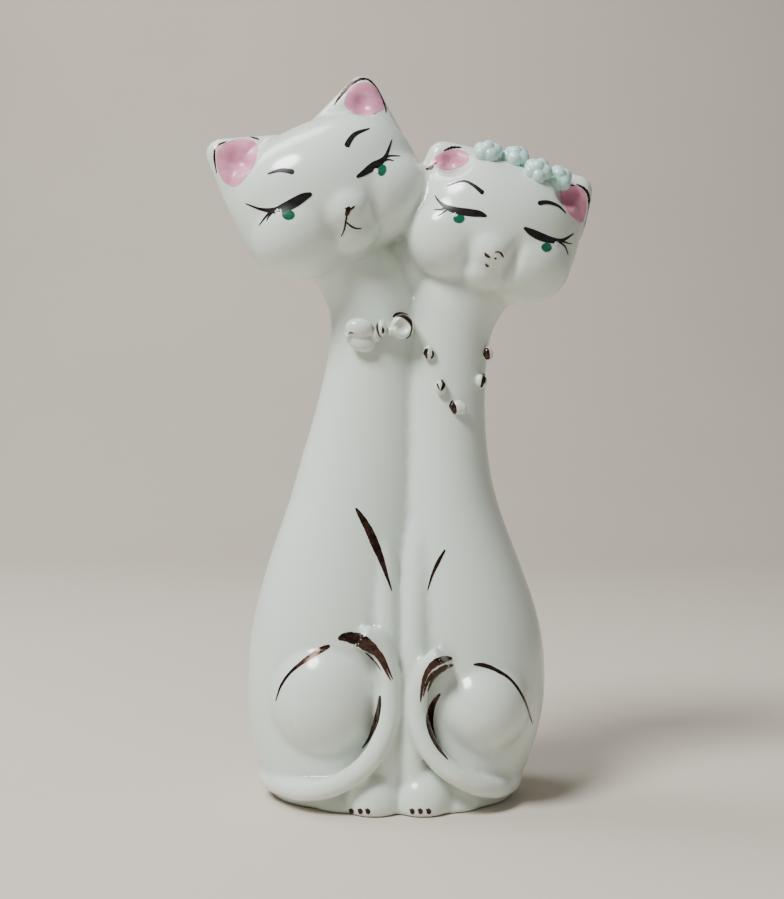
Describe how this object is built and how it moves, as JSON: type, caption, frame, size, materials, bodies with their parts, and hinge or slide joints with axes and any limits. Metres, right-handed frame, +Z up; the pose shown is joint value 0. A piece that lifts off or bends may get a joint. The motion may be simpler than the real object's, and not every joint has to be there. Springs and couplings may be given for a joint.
{
  "type": "ceramic cat pair figurine",
  "caption": "Hollow glazed porcelain figurine of a pair of seated cats leaning cheek to cheek, with bow, pellet necklace and blossoms; stands on its flat foot.",
  "frame": {"origin": "on the base plane, under the middle of the whole figure's bounding box", "axes": "+Z up from the foot to the ears, -Y the way the faces look, +X to the viewer's right, towards the shorter cat"},
  "size_m": [0.1371, 0.0694, 0.2568],
  "materials": {
    "glazed_porcelain": "glossy clear glaze over white porcelain, slightly greenish, with pooled glaze in the grooves",
    "pale_blue_glaze": "pale blue-green coloured glaze, satin to glossy",
    "dark_gold_lustre": "thin dark gold lustre, worn and reddish-brown, brushed over the glaze",
    "black_enamel": "black overglaze enamel of the eyes and brows, glossy",
    "green_enamel": "green overglaze enamel of the irises, glossy",
    "white_enamel": "white overglaze enamel dots in the eyes, glossy",
    "pink_enamel": "pink overglaze enamel of the ears, glossy"
  },
  "bodies": {
    "root": {"body_casting": "glazed_porcelain", "tall_cat_head": "glazed_porcelain", "short_cat_head": "glazed_porcelain", "bow_left_loop": "glazed_porcelain", "bow_right_loop": "glazed_porcelain", "bow_knot": "glazed_porcelain", "necklace_pellet_1": "glazed_porcelain", "necklace_pellet_2": "glazed_porcelain", "necklace_pellet_3": "glazed_porcelain", "necklace_pellet_4": "glazed_porcelain", "necklace_pellet_5": "glazed_porcelain", "blossom_1": "pale_blue_glaze", "blossom_2": "pale_blue_glaze", "blossom_3": "pale_blue_glaze", "blossom_4": "pale_blue_glaze"}
  },
  "joints": []
}
